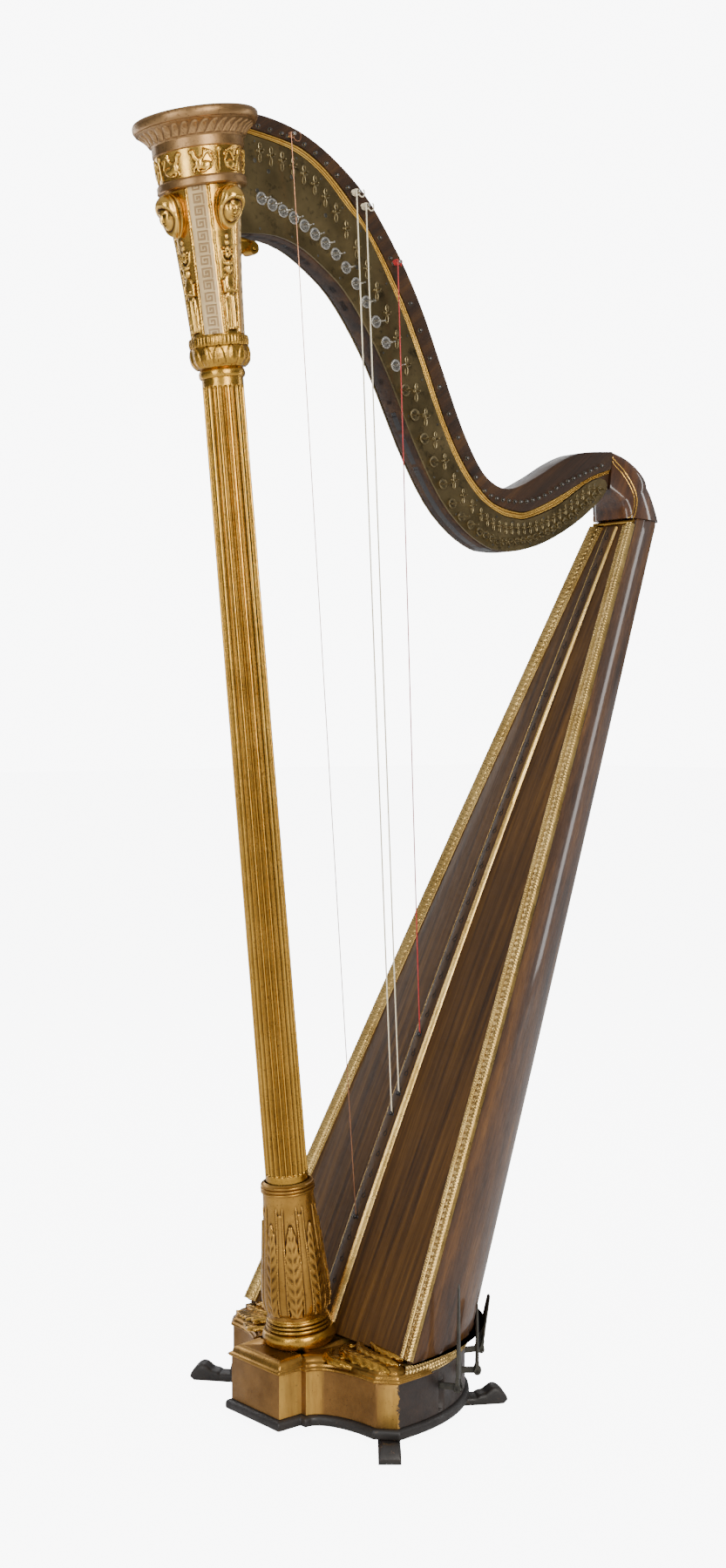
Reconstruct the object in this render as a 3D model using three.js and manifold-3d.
// Single-action pedal harp with a fluted column, in millimetres.
// +Z is up, -X is the column side, +X is the player's side, -Y is the side that carries the strings' action.
// The origin is the centre of the harp's box, on the floor.
import * as THREE from "three";
import { mergeVertices } from "three/addons/utils/BufferGeometryUtils.js";
import Module from "manifold-3d";

const wasm = await Module();
wasm.setup();

// ---------------------------------------------------------------- driving dimensions

const GAP = 0.3; // clearance between pieces that rest on each other
const RUNNING = 0.25; // radial clearance of a turning pin in its hole

// base case, the low box that holds the pedals
const PLATE_LOW = 11;
const PLATE_HIGH = 24;
const CASE_LOW = PLATE_HIGH + GAP;
const CASE_HIGH = 82.5;
const CASE_WALL = 12;
const CASE_ROOF = 6.5;
const BLOCK_FRONT_X = -305.5;
const BLOCK_HALF_WIDTH = 52.3;
const NOTCH_X = -269;
const NOTCH_HALF_WIDTH = 62;
const LOBE_X = -228;
const LOBE_HALF_WIDTH = 154;
const FACET_X = -208;
const FACET_HALF_WIDTH = 175;
const BACK_CENTRE_X = -190;
const BACK_LENGTH = 206;
const BACK_HALF_WIDTH = 174;
const PLATE_PROUD = 6;
const CAP_PROUD = 3;
const COVER_STEPS = [
  { top: 91, proud: 3 },
  { top: 98, proud: -4 },
  { top: 104, proud: -12 },
];
const CAP_SLOPE = 0.18; // the plinth cap rises towards the soundboard
const CAP_FRONT_HIGH = 89;

// feet
const FOOT_WIDTH = 30;
const FRONT_FOOT = { x: -223, y: 175, heading: 130 };
const REAR_FOOT = { x: -24, y: 112, heading: 30 };

// column
const COLUMN_LEAN = 0.1008; // top towards -X, per millimetre of height
const COLUMN_X = -252.9; // where the axis stands at COLUMN_Z
const COLUMN_Z = 326;
const SHAFT_LOW = 321;
const SHAFT_HIGH = 1370;
const SHAFT_LOW_RADIUS = 28.4;
const SHAFT_HIGH_RADIUS = 26.7;
const COLUMN_BORE = 18.5;
const CAPITAL_LEAN = 0.135;
const CAPITAL_BORE = 23;
const CAPITAL_TILT = 0.06; // the upper mouldings tip this much further than the capital's axis
const TILT_STARTS = 60;
const TILT_FULL = 210;
const CORNICE_HEIGHT = 292; // along the capital's axis, from the top of the shaft

// soundbox: L runs up the soundboard, N points out of it towards the strings
const BOARD_FOOT = new THREE.Vector3(-186.9, 0, 104.7);
const BOARD_UP = new THREE.Vector3(0.45, 0, 0.893).normalize();
const BOARD_OUT = new THREE.Vector3(-0.893, 0, 0.45).normalize();
const BOARD_LENGTH = 1264;
const BOARD_THICK = 4;
const BOARD_BELLY = 11;
const BELLY_FOOT = 5;
const BELLY_LOWNESS = 0.85;
const BOARD_START = -20;
const BOARD_STEPS = 14;
const BOARD_ACROSS = 8;
const EDGE_LOW = 178.6; // half width over the edge mouldings, foot and top
const EDGE_HIGH = 44.3;
const EDGE_BOW = 3;
const OVERHANG_LOW = 8; // how far a moulding stands out from the soundbox side
const OVERHANG_HIGH = 3;
const DEPTH_LOW = 214;
const DEPTH_HIGH = 79;
const SHELL_WALL = 7;
const SHELL_LOW = 101.5;
const SHELL_HIGH = 1240;
const MOULDING_WIDTH = 24;
const MOULDING_HIGH = 8;
const RIB_LOW = { half: 12, foot: 20, high: 7 };
const RIB_HIGH = { half: 8, foot: 12, high: 4 };
const ACCESS_HOLES = 4;

// neck
const NECK_HALF = 16.8; // wood between the plates
const BAND_HALF = 20.3; // wood band above the plates
const PLATE_FACE = 20;
const PLATE_BACK = 17.1;
const NECK_END_X = 350;

// strings and action
const STRING_PLACES = 43;
const HOLE_START = 35.5;
const HOLE_SPACING = 30.09;
const HOLE_CLOSING = 0.035; // each spacing is this much shorter, twice over, than the one before
const HOLE_RADIUS = 2.4;
const DISC_START_X = -312;
const BASS_SPACING = 17.7;
const TREBLE_SPACING = 12.5;
const SPACING_BREAK = 22;
const STRING_Y = -30;
const FORK_REACH = 4.8;
const FORK_RADIUS = 1.2;
const DISC_RADIUS = 8.5;
const DISC_THICK = 2;
const SPINDLE_RADIUS = 2.2;
const PIN_RADIUS = 2.6;
const PIN_NEAR_Y = -37;
const PIN_FAR_Y = 33;

// pedals
const PIVOT = { x: -262, z: 60, radius: 3, half: 47 };
const ARM_THICK = 3.4;
const ARM_HEIGHT = 8;
const ARM_BEND_X = -218;
const SLOT_WIDTH = 11;
const SLOT_LOW = 28;
const SLOT_HIGH = 67;
const TOE_WIDTH = 17;
const TOE_THICK = 4.5;
const KNUCKLE_RADIUS = 6;
const HINGE_PIN_RADIUS = 2.4;
const ROD_RADIUS = 1.6;
const ROD_LOW = PIVOT.z + ARM_HEIGHT / 2 + 0.7;
const ROD_HIGH = 1520;
// note, angle of its slot round the back, reach of the hinge beyond the wall, length and lean of the toe
const PEDALS = [
  { note: "d", angle: 71.7, reach: 24, toe: 136, lean: 0 },
  { note: "c", angle: 52.5, reach: 22, toe: 92, lean: 0 },
  { note: "b", angle: 28, reach: 25, toe: 76, lean: 11 },
  { note: "e", angle: -10, reach: 44, toe: 76, lean: 11 },
  { note: "f", angle: -31, reach: 27, toe: 76, lean: 11 },
  { note: "g", angle: -52.5, reach: 22, toe: 92, lean: 0 },
  { note: "a", angle: -71.7, reach: 24, toe: 92, lean: 0 },
];
const PEDAL_PITCH = 5;

// the four strings that are fitted: place of the pin and disc, soundboard hole, radius, colour, and how
// far off the middle of its disc the string runs
const STRINGS = [
  { name: "string_wire", place: 4, hole: 5, radius: 0.6, colour: 0xa9714b, shift: -3.2 },
  { name: "string_gut_low", place: 10, hole: 10, radius: 1.0, colour: 0xe8dfc2, shift: -0.5 },
  { name: "string_gut_high", place: 11, hole: 11, radius: 1.0, colour: 0xe8dfc2, shift: -1.3 },
  { name: "string_red", place: 14, hole: 14, radius: 0.8, colour: 0xb32020, shift: 1.4 },
];
// the discs that the pedals turn, one octave of them
const MOVING_DISCS = { d: 8, e: 9, f: 10, g: 11, a: 12, b: 13, c: 14 };

// ---------------------------------------------------------------- materials

function finish(colour, roughness, metalness) {
  return { colour, roughness, metalness };
}

const GILT = finish(0xc9962e, 0.35, 0.9);
const BRONZE_GOLD = finish(0xa87a45, 0.5, 0.8);
const MAHOGANY = finish(0x4a230c, 0.2, 0);
const PINE = finish(0x5a3a1c, 0.45, 0);
const BLACK = finish(0x1d1715, 0.5, 0);
const BRASS = finish(0x8a7a4a, 0.45, 0.85);
const IRON = finish(0x4c4a40, 0.5, 0.8);
const STEEL = finish(0x8b8b88, 0.35, 0.95);

// ---------------------------------------------------------------- solids

// A closed geometry as a solid, whichever way its faces were wound.
function solidOf(geometry) {
  const bare = geometry.index ? geometry.toNonIndexed() : geometry.clone();
  bare.deleteAttribute("normal");
  bare.deleteAttribute("uv");
  const merged = mergeVertices(bare, 1e-3);
  const triVerts = new Uint32Array(merged.index.array);
  const vertProperties = merged.attributes.position.array;
  const made = new wasm.Manifold(new wasm.Mesh({ numProp: 3, vertProperties, triVerts }));
  if (made.volume() > 0) return made;
  for (let i = 0; i < triVerts.length; i += 3) {
    [triVerts[i + 1], triVerts[i + 2]] = [triVerts[i + 2], triVerts[i + 1]];
  }
  return new wasm.Manifold(new wasm.Mesh({ numProp: 3, vertProperties, triVerts }));
}

function geometryOf(solid) {
  const mesh = solid.getMesh();
  const geometry = new THREE.BufferGeometry();
  const points = new Float32Array(mesh.numVert * 3);
  for (let i = 0; i < mesh.numVert; i++) {
    points.set(mesh.vertProperties.subarray(i * mesh.numProp, i * mesh.numProp + 3), i * 3);
  }
  geometry.setAttribute("position", new THREE.BufferAttribute(points, 3));
  geometry.setIndex(new THREE.BufferAttribute(new Uint32Array(mesh.triVerts), 1));
  return geometry;
}

function cut(geometry, ...tools) {
  return geometryOf(tools.reduce((left, tool) => left.subtract(solidOf(tool)), solidOf(geometry)));
}

function join(geometry, ...others) {
  return geometryOf(others.reduce((sum, other) => sum.add(solidOf(other)), solidOf(geometry)));
}

const harp = new THREE.Group();

function add(name, geometry, look) {
  const shown = geometryOf(solidOf(geometry)).toNonIndexed();
  shown.computeVertexNormals();
  const material = new THREE.MeshStandardMaterial({
    color: look.colour,
    roughness: look.roughness,
    metalness: look.metalness,
  });
  const mesh = new THREE.Mesh(shown, material);
  mesh.name = name;
  harp.add(mesh);
}

// ---------------------------------------------------------------- shape helpers

function box(x0, x1, y0, y1, z0, z1) {
  const shape = new THREE.BoxGeometry(x1 - x0, y1 - y0, z1 - z0);
  return shape.translate((x0 + x1) / 2, (y0 + y1) / 2, (z0 + z1) / 2);
}

function slabXY(points, z0, z1) {
  const shape = new THREE.Shape(points.map(([x, y]) => new THREE.Vector2(x, y)));
  return new THREE.ExtrudeGeometry(shape, { depth: z1 - z0, bevelEnabled: false }).translate(0, 0, z0);
}

function slabXZ(points, y0, y1) {
  const shape = new THREE.Shape(points.map(([x, z]) => new THREE.Vector2(x, z)));
  const slab = new THREE.ExtrudeGeometry(shape, { depth: y1 - y0, bevelEnabled: false });
  return slab.rotateX(Math.PI / 2).translate(0, y1, 0);
}

// A cylinder along Y.
function rodY(x, z, radius, y0, y1, sides = 16) {
  const rod = new THREE.CylinderGeometry(radius, radius, y1 - y0, sides);
  return rod.translate(x, (y0 + y1) / 2, z);
}

// A cylinder between two points.
function rodBetween(from, to, radius, sides = 12) {
  const along = new THREE.Vector3().subVectors(to, from);
  const rod = new THREE.CylinderGeometry(radius, radius, along.length(), sides);
  const turn = new THREE.Quaternion().setFromUnitVectors(new THREE.Vector3(0, 1, 0), along.normalize());
  const middle = new THREE.Vector3().addVectors(from, to).multiplyScalar(0.5);
  return rod.applyQuaternion(turn).translate(middle.x, middle.y, middle.z);
}

// Skin over closed rings that all have the same number of points.
function loft(rings) {
  const count = rings[0].length;
  const points = [];
  const faces = [];
  rings.forEach((ring) => ring.forEach((p) => points.push(p.x, p.y, p.z)));
  for (let r = 0; r + 1 < rings.length; r++) {
    for (let i = 0; i < count; i++) {
      const a = r * count + i;
      const b = r * count + ((i + 1) % count);
      faces.push(a, b, b + count, a, b + count, a + count);
    }
  }
  [0, rings.length - 1].forEach((r) => {
    const middle = new THREE.Vector3();
    rings[r].forEach((p) => middle.addScaledVector(p, 1 / count));
    const hub = points.length / 3;
    points.push(middle.x, middle.y, middle.z);
    for (let i = 0; i < count; i++) {
      const a = r * count + i;
      const b = r * count + ((i + 1) % count);
      faces.push(...(r === 0 ? [hub, b, a] : [hub, a, b]));
    }
  });
  const skin = new THREE.BufferGeometry();
  skin.setAttribute("position", new THREE.Float32BufferAttribute(points, 3));
  skin.setIndex(faces);
  return skin;
}

// A round cord of even thickness along a line of points.
function sweep(points, radius, sides) {
  const rings = points.map((point, i) => {
    const before = points[Math.max(0, i - 1)];
    const after = points[Math.min(points.length - 1, i + 1)];
    const along = new THREE.Vector3().subVectors(after, before).normalize();
    const across = new THREE.Vector3(0, 1, 0).cross(along).normalize();
    const up = new THREE.Vector3().crossVectors(along, across);
    const ring = [];
    for (let k = 0; k < sides; k++) {
      const a = (k / sides) * Math.PI * 2;
      const out = across.clone().multiplyScalar(Math.cos(a)).addScaledVector(up, Math.sin(a));
      ring.push(point.clone().addScaledVector(out, radius));
    }
    return ring;
  });
  return loft(rings);
}

// A smooth line through hand-chosen points, as an array of [x, z].
function smooth(points, steps) {
  const curve = new THREE.SplineCurve(points.map(([x, z]) => new THREE.Vector2(x, z)));
  return curve.getPoints(steps).map((p) => [p.x, p.y]);
}

function mix(low, high, t) {
  return low + (high - low) * t;
}

// Height of a line of points at x.
function heightAt(line, x) {
  for (let i = 0; i + 1 < line.length; i++) {
    const [x0, z0] = line[i];
    const [x1, z1] = line[i + 1];
    if (x <= x1) return mix(z0, z1, (x - x0) / (x1 - x0));
  }
  return line[line.length - 1][1];
}

// ---------------------------------------------------------------- base case, plate, cover and feet

function mirrored(near) {
  const far = near.map(([x, y]) => [x, -y]).reverse();
  return [...near, ...far];
}

// Quarter of an ellipse round the back, from the widest place to the rear.
function backArc(length, halfWidth, steps = 14) {
  const arc = [];
  for (let i = 0; i < steps; i++) {
    const a = ((i + 0.5) / steps) * (Math.PI / 2);
    arc.push([BACK_CENTRE_X + length * Math.sin(a), -halfWidth * Math.cos(a)]);
  }
  return arc;
}

// Plan of the case: a square block in front, hollowed flanks, a corner facet each side, a round back.
function casePlan(proud) {
  const near = [
    [BLOCK_FRONT_X - proud, -BLOCK_HALF_WIDTH - proud],
    [NOTCH_X - proud, -BLOCK_HALF_WIDTH - proud],
    [NOTCH_X - proud, -NOTCH_HALF_WIDTH - proud],
  ];
  const steps = 8;
  for (let i = 1; i <= steps; i++) {
    const a = (1 - i / steps) * (Math.PI / 2);
    const x = NOTCH_X + (LOBE_X - NOTCH_X - proud) * Math.cos(a);
    const y = -LOBE_HALF_WIDTH + (LOBE_HALF_WIDTH - NOTCH_HALF_WIDTH - proud) * Math.sin(a);
    near.push([x, y]);
  }
  near.push([FACET_X - proud * 0.4, -FACET_HALF_WIDTH - proud]);
  return mirrored([...near, ...backArc(BACK_LENGTH + proud, BACK_HALF_WIDTH + proud)]);
}

// Plan of the hollow inside the case.
function cavityPlan() {
  const block = BLOCK_HALF_WIDTH - CASE_WALL;
  const near = [
    [BLOCK_FRONT_X + CASE_WALL, -block],
    [NOTCH_X + CASE_WALL, -block],
    [LOBE_X + CASE_WALL, -LOBE_HALF_WIDTH + CASE_WALL / 2],
    [FACET_X + CASE_WALL / 2, -FACET_HALF_WIDTH + CASE_WALL],
  ];
  return mirrored([...near, ...backArc(BACK_LENGTH - CASE_WALL, BACK_HALF_WIDTH - CASE_WALL)]);
}

function columnAt(z, out = 0) {
  return new THREE.Vector3(COLUMN_X - (z - COLUMN_Z) * COLUMN_LEAN, out, z);
}

function columnBore(radius, z0, z1) {
  return rodBetween(columnAt(z0), columnAt(z1), radius, 24);
}

// The foot of the column with a little room round it, for cutting its neighbours.
function columnClearance() {
  return join(columnBore(50, 80, 141), columnBore(45, 130, 240));
}

// Everything behind the soundboard's front plane, moved out by the given distance.
function behindBoard(out) {
  const reach = 2000;
  const slab = new THREE.BoxGeometry(reach, 800, 3200).translate(reach / 2, 0, 0);
  const turn = new THREE.Quaternion().setFromUnitVectors(
    new THREE.Vector3(1, 0, 0),
    BOARD_OUT.clone().negate(),
  );
  const at = BOARD_FOOT.clone().addScaledVector(BOARD_OUT, out);
  return slab.applyQuaternion(turn).translate(at.x, at.y, at.z);
}

function pedalLines() {
  const middle = (PEDALS.length - 1) / 2;
  return PEDALS.map((pedal, i) => {
    const a = THREE.MathUtils.degToRad(pedal.angle);
    const wall = new THREE.Vector2(
      BACK_CENTRE_X + BACK_LENGTH * Math.cos(a),
      -BACK_HALF_WIDTH * Math.sin(a),
    );
    const lane = (i - middle) * PEDAL_PITCH;
    const bend = new THREE.Vector2(ARM_BEND_X, lane);
    const out = new THREE.Vector2().subVectors(wall, bend).normalize();
    const hinge = wall.clone().addScaledVector(out, pedal.reach);
    return { ...pedal, lane, wall, bend, out, hinge };
  });
}

const pedals = pedalLines();

// A geometry drawn along +X at the origin, turned to a pedal's heading and moved to a point of it.
function alongPedal(pedal, geometry, at, z) {
  return geometry.rotateZ(Math.atan2(pedal.out.y, pedal.out.x)).translate(at.x, at.y, z);
}

function buildBase() {
  const cavity = slabXY(cavityPlan(), CASE_LOW - 5, CASE_HIGH - CASE_ROOF);
  const slots = pedals.map((pedal) => {
    const slot = box(-30, 30, -SLOT_WIDTH / 2, SLOT_WIDTH / 2, SLOT_LOW, SLOT_HIGH);
    return alongPedal(pedal, slot, pedal.wall, 0);
  });
  const pivotHole = rodY(PIVOT.x, PIVOT.z, PIVOT.radius + RUNNING, -PIVOT.half - 1, PIVOT.half + 1);
  const rodWay = columnBore(COLUMN_BORE, 60, 130);
  add(
    "base_case",
    cut(slabXY(casePlan(0), CASE_LOW, CASE_HIGH), cavity, pivotHole, rodWay, ...slots),
    BRONZE_GOLD,
  );
  add("base_plate", slabXY(casePlan(PLATE_PROUD), PLATE_LOW, PLATE_HIGH), BLACK);
  const bar = rodY(PIVOT.x, PIVOT.z, PIVOT.radius, -PIVOT.half, PIVOT.half);
  add("pedal_pivot_bar", bar, STEEL);

  const capLow = CASE_HIGH + GAP;
  const capFront = BLOCK_FRONT_X - CAP_PROUD;
  const capHalf = BLOCK_HALF_WIDTH + CAP_PROUD;
  const capBack = -170;
  const capSide = [
    [capFront, capLow],
    [capBack, capLow],
    [capBack, CAP_FRONT_HIGH + CAP_SLOPE * (capBack - capFront)],
    [capFront, CAP_FRONT_HIGH],
  ];
  const cap = slabXZ(capSide, -capHalf, capHalf);
  const steps = COVER_STEPS.map(({ top, proud }) => slabXY(casePlan(proud), capLow, top));
  const flanks = join(...steps);
  const aboveCap = slabXZ([...capSide.slice(2), [capFront, 120], [capBack, 120]], -capHalf, capHalf);
  const cover = join(cut(flanks, aboveCap), cap);
  add("base_cover", cut(cover, behindBoard(BOARD_BELLY / 2), rodWay), BRONZE_GOLD);
}

// A scroll foot: flat tenon under the plate, a dip, a hump and a rounded toe.
function footSide() {
  const top = smooth([[8, 10.5], [12, 13], [20, 15], [31, 22.5], [41, 20], [50, 10]], 18);
  return [[-34, 0], [-34, PLATE_LOW - GAP], [7, PLATE_LOW - GAP], ...top, [50, 5], [45, 0]];
}

function buildFeet() {
  const places = [
    ["foot_front_left", FRONT_FOOT, -1],
    ["foot_front_right", FRONT_FOOT, 1],
    ["foot_rear_left", REAR_FOOT, -1],
    ["foot_rear_right", REAR_FOOT, 1],
  ];
  places.forEach(([name, foot, side]) => {
    const solid = slabXZ(footSide(), -FOOT_WIDTH / 2, FOOT_WIDTH / 2);
    const heading = THREE.MathUtils.degToRad(foot.heading) * side;
    add(name, solid.rotateZ(heading).translate(foot.x, foot.y * side, 0), BLACK);
  });
}

// ---------------------------------------------------------------- column and capital

// A bored solid of revolution on an axis that leans towards -X.
function turned(profile, bore, base, lean, sides, tilt = 0) {
  const low = profile[0][1];
  const high = profile[profile.length - 1][1];
  const outline = [[bore, low], ...profile, [bore, high], [bore, low]];
  return standing(outline, base, lean, sides, tilt);
}

function standing(outline, base, lean, sides, tilt = 0) {
  const solid = new THREE.LatheGeometry(outline.map(([r, h]) => new THREE.Vector2(r, h)), sides);
  solid.rotateX(Math.PI / 2);
  const at = solid.attributes.position;
  for (let i = 0; i < at.count; i++) {
    const h = at.getZ(i);
    const grown = THREE.MathUtils.clamp((h - TILT_STARTS) / (TILT_FULL - TILT_STARTS), 0, 1);
    at.setZ(i, h + at.getX(i) * tilt * grown);
  }
  return solid.rotateY(-Math.atan(lean)).translate(base.x, base.y, base.z);
}

// Half-round bead between two heights.
function bead(radius, low, high, swell, steps = 4) {
  const points = [];
  for (let i = 0; i <= steps; i++) {
    const a = (i / steps) * Math.PI;
    points.push([radius + swell * Math.sin(a), mix(low, high, (1 - Math.cos(a)) / 2)]);
  }
  return points;
}

const CAPITAL_FOOT = columnAt(SHAFT_HIGH + GAP);
const CAPITAL_START = -1.2; // the bell starts below its foot and is cut square with the shaft

// Bell of the capital, from the necking ring to the ring under the frieze.
function capitalProfile() {
  return [
    ...bead(27.5, CAPITAL_START, 10, 2.5),
    [30, 12],
    [37, 20],
    [38.2, 28],
    [37, 36],
    ...bead(36.5, 38, 50, 1.5),
    [33, 52],
    [36, 110],
    [40.5, 170],
    [47, 236],
    [57, 238],
    [57, 250],
    [53, 252],
    [55, 266],
    [57, CORNICE_HEIGHT - 14],
    [58.5, CORNICE_HEIGHT - 12],
    [58.5, CORNICE_HEIGHT],
  ];
}

// Cornice on top of the capital: a hollow moulding under a rounded rim.
function corniceProfile() {
  const low = CORNICE_HEIGHT + GAP;
  return [
    [0, low],
    [59, low],
    [61, low + 4],
    [65, low + 10],
    [71, low + 15],
    [77, low + 18],
    [80, low + 22],
    [80.8, low + 26],
    [80, low + 30],
    [76.5, low + 33],
    [0, low + 34],
  ];
}

function buildColumn() {
  const clearance = slabXZ(
    [
      [-400, 60],
      [-100, 60],
      [-100, CAP_FRONT_HIGH + GAP + CAP_SLOPE * (-100 - BLOCK_FRONT_X + CAP_PROUD)],
      [-400, CAP_FRONT_HIGH + GAP + CAP_SLOPE * (-400 - BLOCK_FRONT_X + CAP_PROUD)],
    ],
    -90,
    90,
  );
  const foot = columnAt(90);
  const baseProfile = [
    [44, 0],
    [44, 12],
    ...bead(44, 13, 32, 5.3),
    ...bead(42, 33, 38, 2),
    ...bead(41, 38.5, 43, 2),
    ...bead(40, 43.5, 48, 2),
    [39.5, 50],
    [42, 60],
    [43.9, 74],
    [43, 95],
    [39, 140],
    [35.5, 180],
    [34, 214],
    ...bead(34, 217, 223, 2.4),
    ...bead(33.5, 223.5, 229, 2.4),
    [30.5, (SHAFT_LOW - 90) * Math.hypot(1, COLUMN_LEAN)],
  ];
  const base = turned(baseProfile, COLUMN_BORE, foot, COLUMN_LEAN, 32);
  add("column_base", cut(base, clearance), BRONZE_GOLD);

  const shaftFoot = columnAt(SHAFT_LOW + GAP);
  const shaftLength = (SHAFT_HIGH - SHAFT_LOW - GAP) * Math.hypot(1, COLUMN_LEAN);
  const shaftProfile = [
    [SHAFT_LOW_RADIUS, 0],
    [SHAFT_HIGH_RADIUS, shaftLength],
  ];
  add("column_shaft", turned(shaftProfile, COLUMN_BORE, shaftFoot, COLUMN_LEAN, 36), GILT);

  const profile = capitalProfile();
  const capital = turned(profile, CAPITAL_BORE, CAPITAL_FOOT, CAPITAL_LEAN, 32, CAPITAL_TILT);
  add("capital", cut(capital, columnBore(60, SHAFT_HIGH - 30, SHAFT_HIGH + GAP)), GILT);
  const cornice = turned(corniceProfile(), 0, CAPITAL_FOOT, CAPITAL_LEAN, 40, CAPITAL_TILT);
  add("capital_cornice", cornice, BRONZE_GOLD);
}

// The capital and cornice, a little larger all round, for cutting the neck to them.
function capitalClearance() {
  const proud = 0.5;
  const bell = capitalProfile().map(([r, h]) => [r + proud, h]);
  const rim = corniceProfile().slice(1, -1).map(([r, h]) => [r + proud, h]);
  const top = rim[rim.length - 1][1] + 20;
  const solid = [[0, 0], ...bell, ...rim, [rim[rim.length - 1][0], top], [0, top]];
  return standing(solid, CAPITAL_FOOT, CAPITAL_LEAN, 32, CAPITAL_TILT);
}

// ---------------------------------------------------------------- soundbox

function boardPoint(s, y, n) {
  return BOARD_FOOT.clone()
    .addScaledVector(BOARD_UP, s)
    .addScaledVector(BOARD_OUT, n)
    .setY(y);
}

function edgeHalf(s) {
  const t = s / BOARD_LENGTH;
  return mix(EDGE_LOW, EDGE_HIGH, t) + EDGE_BOW * Math.sin(Math.PI * Math.min(Math.max(t, 0), 1));
}

function bodyHalf(s) {
  return edgeHalf(s) - mix(OVERHANG_LOW, OVERHANG_HIGH, s / BOARD_LENGTH);
}

function bodyDepth(s) {
  return mix(DEPTH_LOW, DEPTH_HIGH, s / BOARD_LENGTH);
}

// Distances up the board at which every piece lying on it has a section, so that their facets agree.
const STATIONS = [];
for (let i = 0; i <= BOARD_STEPS; i++) {
  STATIONS.push(mix(BOARD_START, BOARD_LENGTH, i / BOARD_STEPS));
}

function stationsWithin(s0, s1) {
  return [s0, ...STATIONS.filter((s) => s > s0 + 1 && s < s1 - 1), s1];
}

// How far the soundboard has bellied out on its centre line, most in the lower half.
function belly(s) {
  const step = (BOARD_LENGTH - BOARD_START) / BOARD_STEPS;
  const at = Math.min(Math.max((s - BOARD_START) / step, 0), BOARD_STEPS - 1e-6);
  const curve = (i) => {
    const t = Math.max(0, STATIONS[i]) / BOARD_LENGTH;
    return BELLY_FOOT * (1 - t) + BOARD_BELLY * Math.sin(Math.PI * Math.pow(t, BELLY_LOWNESS));
  };
  const i = Math.floor(at);
  return mix(curve(i), curve(i + 1), at - i);
}

// Height of the board's face at a distance from its centre line.
function boardFace(s, y) {
  const u = (Math.min(Math.abs(y) / (edgeHalf(s) - 2), 1) * BOARD_ACROSS) / 2;
  const drop = (i) => 1 - ((2 * i) / BOARD_ACROSS) ** 2;
  const i = Math.min(Math.floor(u), BOARD_ACROSS / 2 - 1);
  return belly(s) * mix(drop(i), drop(i + 1), u - i);
}

// Half-ellipse trough behind the soundboard; lip is how far its open side stands in front.
function trough(s0, s1, wall, lip) {
  const rings = [];
  const lengths = 6;
  const around = 20;
  const front = -BOARD_THICK - GAP;
  for (let i = 0; i <= lengths; i++) {
    const s = mix(s0, s1, i / lengths);
    const half = bodyHalf(s) - wall;
    const depth = bodyDepth(s) - wall + front;
    const ring = [];
    for (let k = 0; k <= around; k++) {
      const a = (k / around) * Math.PI;
      ring.push(boardPoint(s, -half * Math.cos(a), front - depth * Math.sin(a)));
    }
    if (lip > 0) ring.push(boardPoint(s, half, front + lip), boardPoint(s, -half, front + lip));
    rings.push(ring);
  }
  return loft(rings);
}

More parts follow.
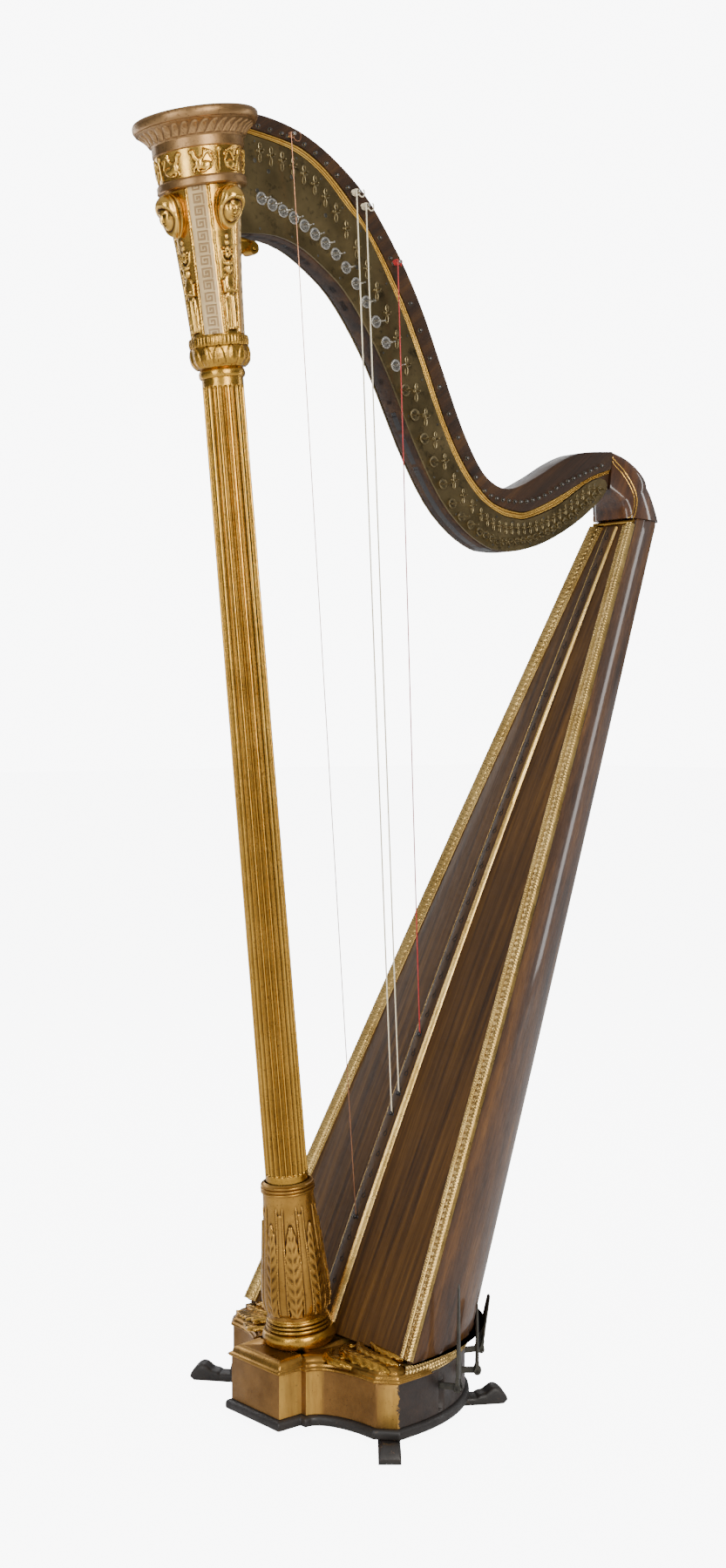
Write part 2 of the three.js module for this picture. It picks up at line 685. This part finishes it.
function buildSoundbox() {
  const outer = trough(-140, BOARD_LENGTH + 120, 0, 0);
  const inner = trough(-160, BOARD_LENGTH - 40, SHELL_WALL, 20);
  const below = box(-500, 600, -300, 300, -200, SHELL_LOW);
  const above = box(-500, 900, -300, 300, SHELL_HIGH, 2000);
  const holes = [];
  for (let i = 0; i < ACCESS_HOLES; i++) {
    const s = mix(260, 1000, i / (ACCESS_HOLES - 1));
    const half = mix(34, 20, i / (ACCESS_HOLES - 1));
    const length = mix(60, 44, i / (ACCESS_HOLES - 1));
    const depth = bodyDepth(s);
    [-1, 1].forEach((end) => {
      const from = boardPoint(s + (end * length) / 2, 0, -depth - 40);
      const to = boardPoint(s + (end * length) / 2, 0, -depth + 45);
      holes.push(rodBetween(from, to, half, 20));
    });
    const slot = new THREE.BoxGeometry(85, half * 2, length);
    const turn = new THREE.Quaternion().setFromRotationMatrix(
      new THREE.Matrix4().makeBasis(BOARD_OUT, new THREE.Vector3(0, -1, 0), BOARD_UP),
    );
    const at = boardPoint(s, 0, -depth + 2.5);
    holes.push(slot.applyQuaternion(turn).translate(at.x, at.y, at.z));
  }
  add("soundbox_shell", cut(outer, inner, below, above, ...holes), MAHOGANY);

  const boardRings = STATIONS.map((s) => {
    const half = edgeHalf(s) - 2;
    const front = [];
    const back = [];
    for (let k = 0; k <= BOARD_ACROSS; k++) {
      const y = half * mix(-1, 1, k / BOARD_ACROSS);
      const n = boardFace(s, y);
      front.push(boardPoint(s, y, n));
      back.unshift(boardPoint(s, y, n - BOARD_THICK));
    }
    return [...front, ...back];
  });
  const columnRoom = columnClearance();
  add("soundboard", cut(loft(boardRings), columnRoom), PINE);

  const ribRings = stationsWithin(12, BOARD_LENGTH - 6).map((s) => {
    const t = s / BOARD_LENGTH;
    const half = mix(RIB_LOW.half, RIB_HIGH.half, t);
    const foot = mix(RIB_LOW.foot, RIB_HIGH.foot, t);
    const low = belly(s) + GAP;
    const high = belly(s) + mix(RIB_LOW.high, RIB_HIGH.high, t);
    return [
      boardPoint(s, -foot, low),
      boardPoint(s, -half, high),
      boardPoint(s, half, high),
      boardPoint(s, foot, low),
    ];
  });
  const holesInRib = [];
  for (let place = 1; place <= STRING_PLACES; place++) {
    const s = holeAlong(place);
    const from = boardPoint(s, 0, belly(s) - 8);
    const to = boardPoint(s, 0, belly(s) + 14);
    holesInRib.push(rodBetween(from, to, HOLE_RADIUS, 8));
  }
  add("string_rib", cut(loft(ribRings), columnRoom, ...holesInRib), PINE);

  [["edge_moulding_left", -1], ["edge_moulding_right", 1]].forEach(([name, side]) => {
    const rings = stationsWithin(2, BOARD_LENGTH - 4).map((s) => {
      const outerY = edgeHalf(s);
      const innerY = outerY - MOULDING_WIDTH;
      const under = (y) => boardFace(s, y) + GAP;
      return [
        boardPoint(s, side * innerY, under(innerY) + 0.4),
        boardPoint(s, side * (innerY + 3), under(innerY) + 3.5),
        boardPoint(s, side * (innerY + 10), MOULDING_HIGH),
        boardPoint(s, side * (outerY - 5), MOULDING_HIGH),
        boardPoint(s, side * outerY, 2.5),
        boardPoint(s, side * outerY, GAP),
        boardPoint(s, side * (innerY + 12), under(innerY + 12) + 0.8),
        boardPoint(s, side * (innerY + 6), under(innerY + 6) + 0.4),
      ];
    });
    add(name, loft(rings), GILT);
  });
}

// Carved band between the case and the foot of the soundbox, flaring out to the soundbox's wider back.
function buildBand() {
  const low = CASE_HIGH + GAP;
  const high = SHELL_LOW - GAP;
  const flare = (inset) => {
    const rings = [];
    for (let i = 0; i <= 3; i++) {
      const t = i / 3;
      const z = mix(low - inset / 5, high + inset / 5, t);
      const centre = mix(BACK_CENTRE_X, -188.6, t);
      const length = mix(BACK_LENGTH + 1, 231, Math.pow(t, 0.8)) - inset;
      const half = mix(BACK_HALF_WIDTH, 172.5, t) - inset;
      const ring = [];
      for (let k = 0; k < 48; k++) {
        const a = (k / 48) * Math.PI * 2;
        ring.push(new THREE.Vector3(centre + length * Math.cos(a), half * Math.sin(a), z));
      }
      rings.push(ring);
    }
    return loft(rings);
  };
  const front = box(-600, 0, -300, 300, -3000, 3000);
  const turn = Math.atan2(BOARD_UP.x, BOARD_UP.z);
  const at = boardPoint(0, 0, -BOARD_THICK - GAP - 0.3);
  front.rotateY(turn).translate(at.x, at.y, at.z);
  const bar = box(-182, -172, -166, 166, low, high);
  const ring = cut(flare(0), flare(10), front);
  add("soundbox_band", join(ring, cut(bar, front)), GILT);
}

// ---------------------------------------------------------------- neck, plates, shoulder

const NECK_TOP = smooth(
  [
    [-350, 1711], [-291, 1710], [-239, 1700], [-186, 1676], [-131, 1636], [-74, 1568], [-33, 1504],
    [4, 1429], [41, 1353], [72, 1303], [97, 1278], [127, 1267], [158, 1272], [201, 1292],
    [245, 1316], [290, 1333], [357, 1341],
  ],
  48,
);
const BAND_EDGE = smooth(
  [
    [-345, 1691], [-269, 1686], [-230, 1676], [-191, 1653], [-149, 1616], [-104, 1564], [-63, 1502],
    [-26, 1432], [16, 1344], [55, 1287], [95, 1251], [118, 1241], [147, 1236], [177, 1238],
    [237, 1263], [307, 1298], [353, 1314],
  ],
  44,
);
const PLATE_EDGE = smooth(
  [
    [-345, 1683], [-265, 1676], [-213, 1655], [-169, 1619], [-131, 1586], [-76, 1504], [-39, 1434],
    [-9, 1370], [33, 1297], [75, 1252], [118, 1230], [150, 1225], [177, 1227], [237, 1250],
    [300, 1288], [330, 1299],
  ],
  44,
);
const NECK_LOW = smooth(
  [
    [-348, 1552], [-292, 1559], [-247, 1551], [-206, 1530], [-170, 1504], [-131, 1459], [-92, 1400],
    [-41, 1307], [5, 1240], [48, 1202], [89, 1181], [118, 1176], [160, 1179], [207, 1192],
    [260, 1217], [303, 1244], [335, 1270],
  ],
  44,
);
const DISC_LINE = smooth(
  [
    [-312, 1603], [-243, 1581], [-173, 1539], [-101, 1448], [-28, 1321], [25, 1236], [59, 1210],
    [89, 1197], [118, 1190], [160, 1193], [207, 1207], [260, 1233], [328, 1281],
  ],
  60,
);
const PIN_LINE = smooth(
  [
    [-320, 1695], [-241, 1686], [-171, 1646], [-132, 1610], [-96, 1567], [-57, 1509], [-20, 1437],
    [17, 1362], [50, 1307], [76, 1270], [96, 1255], [119, 1250], [165, 1250], [207, 1262],
    [259, 1288], [334, 1318],
  ],
  60,
);

function holeAlong(place) {
  const i = place - 1;
  return HOLE_START + HOLE_SPACING * i - HOLE_CLOSING * i * i;
}

function discAt(place) {
  const i = place - 1;
  const treble = Math.max(0, i - SPACING_BREAK);
  const x = DISC_START_X + BASS_SPACING * (i - treble) + TREBLE_SPACING * treble;
  return new THREE.Vector3(x, -PLATE_FACE, heightAt(DISC_LINE, x));
}

// The straight run of a string: from its hole in the rib, over its disc.
function stringRun({ place, hole, shift }) {
  const s = holeAlong(hole);
  const foot = boardPoint(s, 0, belly(s) + mix(RIB_LOW.high, RIB_HIGH.high, s / BOARD_LENGTH) + 1);
  const disc = discAt(place).setY(STRING_Y);
  disc.x += shift;
  const along = new THREE.Vector3().subVectors(disc, foot).normalize();
  return { foot, disc, along };
}

function onRun(run, z) {
  return run.foot.clone().addScaledVector(run.along, (z - run.foot.z) / run.along.z);
}

// Where a string's tuning pin stands: the string passes its column side.
function pinAt(string) {
  const run = stringRun(string);
  let z = run.disc.z + 90;
  for (let i = 0; i < 20; i++) z = heightAt(PIN_LINE, onRun(run, z).x + PIN_RADIUS);
  const side = onRun(run, z);
  return new THREE.Vector3(side.x + PIN_RADIUS + string.radius + 0.35, side.y, z);
}

function neckOutline(upper, lower) {
  return [...upper, ...[...lower].reverse()];
}

function discSpindleHoles(radius, y0, y1) {
  return Object.values(MOVING_DISCS).map((place) => {
    const at = discAt(place);
    return rodY(at.x, at.z, radius, y0, y1, 12);
  });
}

function buildNeck() {
  const clearance = capitalClearance();
  const pinHoles = STRINGS.map((string) => {
    const at = pinAt(string);
    return rodY(at.x, at.z, PIN_RADIUS + RUNNING, -BAND_HALF - 2, BAND_HALF + 2, 16);
  });
  const core = slabXZ(neckOutline(NECK_TOP, [...NECK_LOW, [NECK_END_X - 3, 1281]]), -NECK_HALF, NECK_HALF);
  const band = slabXZ(neckOutline(NECK_TOP, BAND_EDGE), -BAND_HALF, BAND_HALF);
  const beyond = box(NECK_END_X, 700, -90, 90, 1000, 1800);
  const pockets = discSpindleHoles(SPINDLE_RADIUS + 0.6, -NECK_HALF - 1, -11);
  add("neck", cut(join(core, band), clearance, beyond, ...pinHoles, ...pockets), MAHOGANY);

  const inset = 0.8;
  const lower = NECK_LOW.map(([x, z]) => [x, z + inset]);
  const upper = PLATE_EDGE.map(([x, z]) => [x, z - inset]);
  const tip = [[341, 1296], [345, 1289], [342, 1279]];
  const outline = [...upper, ...tip, ...lower.reverse()];
  const holes = discSpindleHoles(SPINDLE_RADIUS + RUNNING, -PLATE_FACE - 1, -PLATE_BACK + 1);
  const left = slabXZ(outline, -PLATE_FACE, -PLATE_BACK);
  add("action_plate_left", cut(left, clearance, ...holes), BRASS);
  const right = slabXZ(outline, PLATE_BACK, PLATE_FACE);
  add("action_plate_right", cut(right, clearance), BRASS);

  const scroll = [];
  for (let i = 0; i <= 12; i++) {
    const a = THREE.MathUtils.degToRad(mix(60, -150, i / 12));
    scroll.push([-315 + 8 * Math.cos(a), 1541 + 8 * Math.sin(a)]);
  }
  const bracket = [[-350, 1550], [-311, 1555], ...scroll, [-326, 1526], [-350, 1510]];
  add("neck_bracket", cut(slabXZ(bracket, -9, 9), clearance), GILT);
}

// The neck's treble end turns over and spreads to the top of the soundbox.
function buildShoulder() {
  const stations = [
    { inner: [350.5, 1283], outer: [357.6, 1341], half: 20.3 },
    { inner: [356, 1277], outer: [385, 1333.5], half: 26 },
    { inner: [361, 1270], outer: [413, 1318], half: 32.5 },
    { inner: [365, 1262], outer: [438, 1298], half: 38 },
    { inner: [368, 1253], outer: [454, 1272], half: 41 },
    { inner: [370, SHELL_HIGH + GAP], outer: [467, SHELL_HIGH + GAP], half: 42.5 },
  ];
  const widest = 0.22;
  const around = 14;
  const rings = stations.map(({ inner, outer, half }) => {
    const place = (u, y) => new THREE.Vector3(mix(inner[0], outer[0], u), y, mix(inner[1], outer[1], u));
    const near = [];
    for (let k = 0; k <= around; k++) {
      const u = (1 - Math.cos((k / around) * Math.PI)) / 2;
      const v = u < widest ? (widest - u) / widest : (u - widest) / (1 - widest);
      const power = u < widest ? 3 : 2.2;
      near.push([u, half * Math.pow(1 - Math.pow(v, power), 1 / power)]);
    }
    const far = near.slice(1, -1).reverse().map(([u, y]) => [u, -y]);
    return [...near, ...far].map(([u, y]) => place(u, y));
  });
  const neckSide = box(-400, NECK_END_X + GAP, -90, 90, 1000, 1800);
  add("shoulder", cut(loft(rings), neckSide), MAHOGANY);
}

// ---------------------------------------------------------------- strings, pins and discs

function buildStrings() {
  STRINGS.forEach((string) => {
    const { name, place, hole, radius, colour } = string;
    const s = holeAlong(hole);
    const run = stringRun(string);
    const pin = pinAt(string);
    const top = onRun(run, pin.z + 2);
    const inHole = boardPoint(s, 0, belly(s) + 3);
    const turnUp = new THREE.QuadraticBezierCurve3(
      inHole,
      run.foot,
      onRun(run, run.foot.z + 5),
    );
    add(name, sweep([...turnUp.getPoints(4), top], radius, 8), finish(colour, 0.5, 0));

    const shank = rodY(pin.x, pin.z, PIN_RADIUS, PIN_NEAR_Y, PIN_FAR_Y, 16);
    const head = box(-2.3, 2.3, PIN_FAR_Y - 9, PIN_FAR_Y + 1, -2.3, 2.3).translate(pin.x, 0, pin.z);
    add(`tuning_pin_${place}`, join(shank, head), STEEL);
  });
}

// A disc with two fork pins that stand either side of the string, on a spindle through the plate.
function buildDiscs() {
  Object.entries(MOVING_DISCS).forEach(([note, place]) => {
    const at = discAt(place);
    const run = stringRun({ place, hole: place, shift: 0 });
    const back = -PLATE_FACE - GAP;
    const face = back - DISC_THICK;
    const parts = [rodY(at.x, at.z, SPINDLE_RADIUS, back - 0.5, -12, 12)];
    const across = new THREE.Vector2(run.along.z, -run.along.x).normalize();
    [-1, 1].forEach((side) => {
      const x = at.x + side * FORK_REACH * across.x;
      const z = at.z + side * FORK_REACH * across.y;
      parts.push(rodY(x, z, FORK_RADIUS, STRING_Y - 5, face + 0.5, 8));
    });
    add(`disc_${note}`, join(rodY(at.x, at.z, DISC_RADIUS, face, back, 24), ...parts), STEEL);
  });
}

// ---------------------------------------------------------------- pedals and rods

function buildPedals() {
  pedals.forEach((pedal) => {
    const half = ARM_THICK / 2;
    const low = PIVOT.z - ARM_HEIGHT / 2;
    const high = PIVOT.z + ARM_HEIGHT / 2;
    const straight = box(PIVOT.x, ARM_BEND_X + 1, pedal.lane - half, pedal.lane + half, low, high);
    const reach = pedal.bend.distanceTo(pedal.hinge);
    const swung = alongPedal(pedal, box(-1, reach, -half, half, low, high), pedal.bend, 0);
    const elbow = new THREE.CylinderGeometry(half, half, ARM_HEIGHT, 12).rotateX(Math.PI / 2);
    elbow.translate(pedal.bend.x, pedal.bend.y, PIVOT.z);
    const eye = rodY(PIVOT.x, PIVOT.z, 6.5, pedal.lane - half, pedal.lane + half, 20);
    const bore = rodY(PIVOT.x, PIVOT.z, PIVOT.radius + RUNNING, pedal.lane - 3, pedal.lane + 3, 20);
    const knuckle = rodY(0, 0, KNUCKLE_RADIUS, -half, half, 20);
    const pinHole = rodY(0, 0, HINGE_PIN_RADIUS + RUNNING, -4, 4, 16);
    const lug = alongPedal(pedal, knuckle, pedal.hinge, PIVOT.z);
    const hole = alongPedal(pedal, pinHole, pedal.hinge, PIVOT.z);
    const arm = cut(join(straight, swung, elbow, eye, lug), bore, hole);
    add(`pedal_arm_${pedal.note}`, arm, IRON);

    // the toe: a leaf-shaped blade with two cheeks that hold the hinge pin either side of the arm
    const blade = smooth(
      [
        [-TOE_WIDTH / 2, 11],
        [-TOE_WIDTH / 2, pedal.toe * 0.35],
        [-TOE_WIDTH / 2 + 2.2, pedal.toe * 0.75],
        [0, pedal.toe],
        [TOE_WIDTH / 2 - 2.2, pedal.toe * 0.75],
        [TOE_WIDTH / 2, pedal.toe * 0.35],
        [TOE_WIDTH / 2, 11],
      ],
      24,
    );
    const leaf = slabXZ(blade, -TOE_THICK / 2, TOE_THICK / 2).rotateZ(Math.PI / 2);
    const cheeks = [-1, 1].map((hand) => {
      const inside = half + GAP;
      const [y0, y1] = hand < 0 ? [-TOE_WIDTH / 2, -inside] : [inside, TOE_WIDTH / 2];
      return join(
        rodY(0, 0, KNUCKLE_RADIUS - 1, y0, y1, 16),
        box(-TOE_THICK / 2, TOE_THICK / 2, y0, y1, 0, 13),
      );
    });
    const pin = rodY(0, 0, HINGE_PIN_RADIUS, -TOE_WIDTH / 2 + 1, TOE_WIDTH / 2 - 1, 12);
    const toe = join(leaf, ...cheeks, pin).rotateY(THREE.MathUtils.degToRad(pedal.lean));
    add(`pedal_toe_${pedal.note}`, alongPedal(pedal, toe, pedal.hinge, PIVOT.z), IRON);

    const from = columnAt(ROD_LOW, pedal.lane);
    const to = columnAt(ROD_HIGH, pedal.lane);
    add(`pedal_rod_${pedal.note}`, rodBetween(from, to, ROD_RADIUS, 8), STEEL);
  });
}

buildBase();
buildFeet();
buildColumn();
buildSoundbox();
buildBand();
buildNeck();
buildShoulder();
buildStrings();
buildDiscs();
buildPedals();

const whole = new THREE.Box3().setFromObject(harp);
harp.position.x = -(whole.min.x + whole.max.x) / 2;

export default harp;
